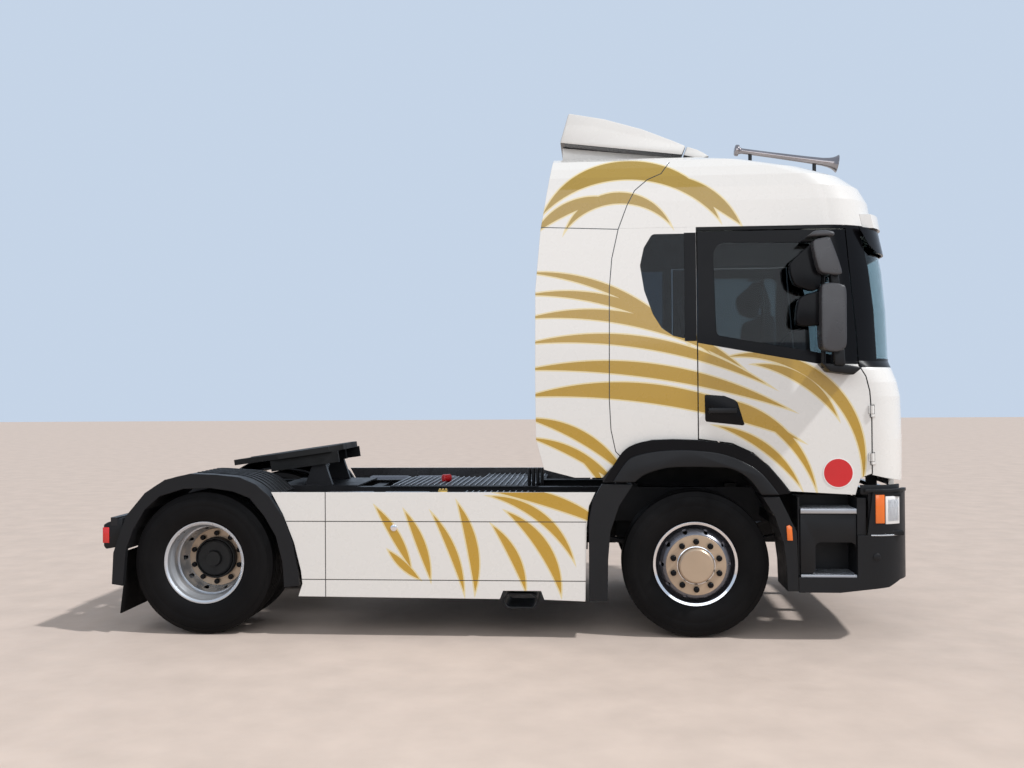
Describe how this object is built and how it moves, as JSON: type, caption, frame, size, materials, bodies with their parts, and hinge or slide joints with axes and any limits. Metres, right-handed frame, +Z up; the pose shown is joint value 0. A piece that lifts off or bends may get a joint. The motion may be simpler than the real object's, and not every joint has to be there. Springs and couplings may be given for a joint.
{
  "type": "decorated truck",
  "caption": "Two-axle tractor unit with a high-roof sleeper cab that tilts, opening doors and front lid, steered and rolling wheels, side fairings, skirts and a tilting fifth wheel.",
  "frame": {"origin": "on the ground, under the middle of the truck's bounding box", "axes": "+X forward, +Y to the truck's left, +Z up"},
  "size_m": [5.824, 2.98, 3.8168],
  "materials": {
    "white_paint": "gloss",
    "skirt_paint": "gloss",
    "dark_trim": "satin",
    "rubber": "matte",
    "glass": "clear",
    "visor": "gloss",
    "lamp": "clear",
    "frame_steel": "satin",
    "cast": "matte",
    "rim": "satin",
    "tyre": "matte",
    "deck": "brushed",
    "chrome": "polished",
    "cloth": "matte",
    "dash": "matte"
  },
  "bodies": {
    "chassis": {"frame_rails": "frame_steel", "crossmembers": "frame_steel", "front_axle": "cast", "suspension": "frame_steel", "rear_axle": "cast", "engine": "cast", "driveline": "cast", "arch_guards": "dark_trim", "rear_fenders": "dark_trim", "mud_flaps": "rubber", "tail_lamps": "lamp", "side_skirts": "skirt_paint", "exhaust_box": "dark_trim", "tanks": "dark_trim", "catwalk": "deck", "bumper": "skirt_paint", "headlamps": "lamp", "step_boxes": "dark_trim", "tilt_brackets": "frame_steel", "fifth_base": "frame_steel"},
    "cab": {"cab_sides": "white_paint", "side_fairings": "white_paint", "roof": "white_paint", "cab_rear": "white_paint", "cab_front": "white_paint", "screen_frame": "dark_trim", "cab_glass": "glass", "cab_floor": "frame_steel", "arch_tops": "dark_trim", "roof_spoiler": "white_paint", "header": "white_paint", "sun_visor": "visor", "horns": "chrome", "seats_and_bunk": "cloth", "dashboard": "dash"},
    "lid": {"front_lid": "white_paint"},
    "door_right": {"door_panel_right": "white_paint", "door_frame_right": "dark_trim", "door_glass_right": "glass", "mirror_right": "dark_trim"},
    "door_left": {"door_panel_left": "white_paint", "door_frame_left": "dark_trim", "door_glass_left": "glass", "mirror_left": "dark_trim"},
    "steering_right": {"knuckle_right": "cast"},
    "steering_left": {"knuckle_left": "cast"},
    "track_rod": {"tie_rod": "cast"},
    "coupling_plate": {"fifth_plate": "cast"},
    "front_wheel_right": {"front_tyre_right": "tyre", "front_rim_right": "rim", "front_hub_right": "cast"},
    "rear_wheels_right": {"rear_tyres_right": "tyre", "rear_rims_right": "rim", "rear_hub_right": "cast"},
    "front_wheel_left": {"front_tyre_left": "tyre", "front_rim_left": "rim", "front_hub_left": "cast"},
    "rear_wheels_left": {"rear_tyres_left": "tyre", "rear_rims_left": "rim", "rear_hub_left": "cast"}
  },
  "joints": [
    {"name": "steer_right", "type": "hinge", "parent": "chassis", "child": "steering_right", "pos_m": [1.4, -0.875, 0.522], "axis": [0, 0, 1], "range_deg": [-35, 35]},
    {"name": "steer_left", "type": "hinge", "parent": "chassis", "child": "steering_left", "pos_m": [1.4, 0.875, 0.522], "axis": [0, 0, 1], "range_deg": [-35, 35]},
    {"name": "track_rod_swing", "type": "hinge", "parent": "steering_right", "child": "track_rod", "pos_m": [1.2, -0.875, 0.4], "axis": [0, 0, 1], "range_deg": [-35, 35]},
    {"name": "front_spin_right", "type": "hinge", "parent": "steering_right", "child": "front_wheel_right", "pos_m": [1.4, -1.02, 0.522], "axis": [0, 1, 0], "continuous": true},
    {"name": "front_spin_left", "type": "hinge", "parent": "steering_left", "child": "front_wheel_left", "pos_m": [1.4, 1.02, 0.522], "axis": [0, 1, 0], "continuous": true},
    {"name": "rear_spin_right", "type": "hinge", "parent": "chassis", "child": "rear_wheels_right", "pos_m": [-2.15, -0.91, 0.522], "axis": [0, 1, 0], "continuous": true},
    {"name": "rear_spin_left", "type": "hinge", "parent": "chassis", "child": "rear_wheels_left", "pos_m": [-2.15, 0.91, 0.522], "axis": [0, 1, 0], "continuous": true},
    {"name": "cab_tilt", "type": "hinge", "parent": "chassis", "child": "cab", "pos_m": [2.8, 0, 0.86], "axis": [0, 1, 0], "range_deg": [0, 60]},
    {"name": "door_right_swing", "type": "hinge", "parent": "cab", "child": "door_right", "pos_m": [2.614, -1.22, 1.4], "axis": [0, 0, 1], "range_deg": [0, 80]},
    {"name": "door_left_swing", "type": "hinge", "parent": "cab", "child": "door_left", "pos_m": [2.614, 1.22, 1.4], "axis": [0, 0, -1], "range_deg": [0, 80]},
    {"name": "lid_lift", "type": "hinge", "parent": "cab", "child": "lid", "pos_m": [2.866, 0, 1.852], "axis": [0, -1, 0], "range_deg": [0, 75]},
    {"name": "plate_tilt", "type": "hinge", "parent": "chassis", "child": "coupling_plate", "pos_m": [-1.53, 0, 1.205], "axis": [0, 1, 0], "range_deg": [0, 16]}
  ],
  "couplings": [
    {"joint": "steer_left", "follows": "steer_right", "ratio": 1},
    {"joint": "track_rod_swing", "follows": "steer_right", "ratio": -1}
  ]
}
